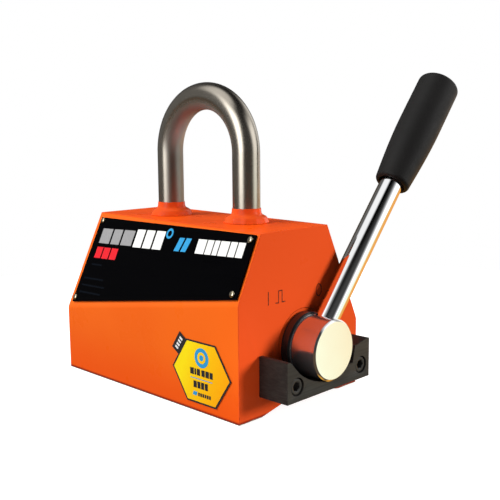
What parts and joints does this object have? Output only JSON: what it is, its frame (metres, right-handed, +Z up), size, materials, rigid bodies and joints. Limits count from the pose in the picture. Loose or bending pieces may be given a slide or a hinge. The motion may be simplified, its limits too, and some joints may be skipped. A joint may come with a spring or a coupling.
{
  "type": "lifting magnet",
  "caption": "Lever-switched permanent magnetic lifter: painted steel body with a fixed shackle on top and a turning lever with a stop block on one end.",
  "frame": {"origin": "centre of the box around the whole object at the level of the pole faces it rests on", "axes": "+Z up, out of the top with the shackle; +X along the body towards the lever end; nameplate on -Y"},
  "size_m": [0.1788, 0.1828, 0.1868],
  "materials": {
    "body_paint": "semi-gloss orange paint on steel",
    "bare_steel": "machined steel",
    "dark_steel": "black oxide on milled steel",
    "satin_stainless": "satin stainless bar",
    "lever_chrome": "bright chrome plate",
    "grip_plastic": "satin black moulded grip",
    "magnet_nickel": "nickel-plated magnet",
    "brass_strip": "drawn brass strip",
    "bronze": "sintered bronze",
    "seal_rubber": "black seal rubber",
    "plate_black": "black printed aluminium plate",
    "rivet_aluminium": "plain aluminium",
    "sticker_film": "printed yellow vinyl film"
  },
  "bodies": {
    "magnet_body": {"housing": "body_paint", "pole_gap_strip": "brass_strip", "stator_magnet_1": "magnet_nickel", "stator_magnet_2": "magnet_nickel", "stator_magnet_3": "magnet_nickel", "stator_magnet_4": "magnet_nickel", "stator_retainer": "brass_strip", "front_bearing_cover": "body_paint", "front_bush": "bronze", "shaft_seal": "seal_rubber", "front_thrust_washer": "bronze", "rear_thrust_washer": "bronze", "rear_bearing_cover": "bare_steel", "rear_bush": "bronze", "rear_retaining_ring": "bare_steel", "stop_block": "dark_steel", "stop_block_screw_left": "dark_steel", "stop_block_screw_right": "dark_steel", "shackle": "satin_stainless", "shackle_weld_left": "body_paint", "shackle_weld_right": "body_paint", "nameplate": "plate_black", "nameplate_rivet_1": "rivet_aluminium", "nameplate_rivet_2": "rivet_aluminium", "nameplate_rivet_3": "rivet_aluminium", "nameplate_rivet_4": "rivet_aluminium", "test_sticker": "sticker_film"},
    "lever_and_rotor": {"rotor_pole_upper": "bare_steel", "rotor_pole_lower": "bare_steel", "rotor_magnet_1": "magnet_nickel", "rotor_magnet_2": "magnet_nickel", "rotor_magnet_3": "magnet_nickel", "rotor_magnet_4": "magnet_nickel", "rotor_drive_plate": "bare_steel", "rotor_rear_plate": "bare_steel", "rotor_plate_screw_1": "bare_steel", "rotor_plate_screw_2": "bare_steel", "rotor_plate_screw_3": "bare_steel", "rotor_plate_screw_4": "bare_steel", "lever_hub": "lever_chrome", "lever_rod": "lever_chrome", "lever_grip": "grip_plastic"}
  },
  "joints": [
    {"name": "lever_turn", "type": "hinge", "parent": "magnet_body", "child": "lever_and_rotor", "pos_m": [0.0666, -0.04084, 0.0344], "axis": [1, 0, 0], "range_deg": [-36.6, 117.4]}
  ]
}
